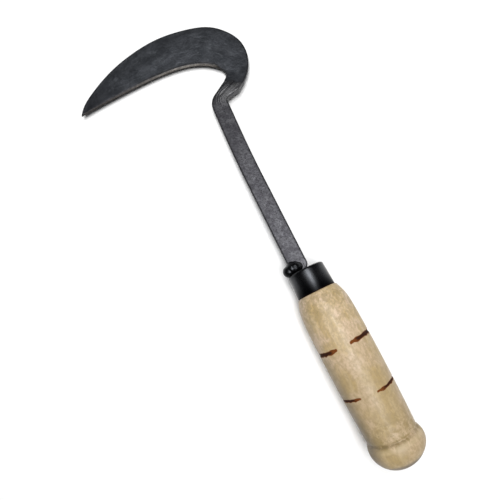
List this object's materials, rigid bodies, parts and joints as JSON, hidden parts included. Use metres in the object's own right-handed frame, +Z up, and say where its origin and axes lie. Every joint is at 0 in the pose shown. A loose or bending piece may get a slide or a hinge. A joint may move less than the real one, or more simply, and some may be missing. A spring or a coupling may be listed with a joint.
{
  "type": "hand sickle",
  "caption": "Small hand sickle: hooked blade, gooseneck and flat shank forged in one piece, welded to a black steel cap and tang in a turned wooden handle.",
  "frame": {"origin": "centre of the footprint of the sickle lying flat, on the surface it lies on", "axes": "+X along the handle from butt to blade (the tool lies with its blade end 3.7 degrees down), +Y to the side the hook reaches to, +Z up from the surface"},
  "size_m": [0.3366, 0.1346, 0.0389],
  "materials": {
    "forged_steel": "satin",
    "black_enamel": "gloss",
    "tang_steel": "satin",
    "turned_wood": "satin"
  },
  "bodies": {
    "root": {"blade": "forged_steel", "weld_bead": "black_enamel", "ferrule": "black_enamel", "tang": "tang_steel", "handle": "turned_wood"}
  },
  "joints": []
}
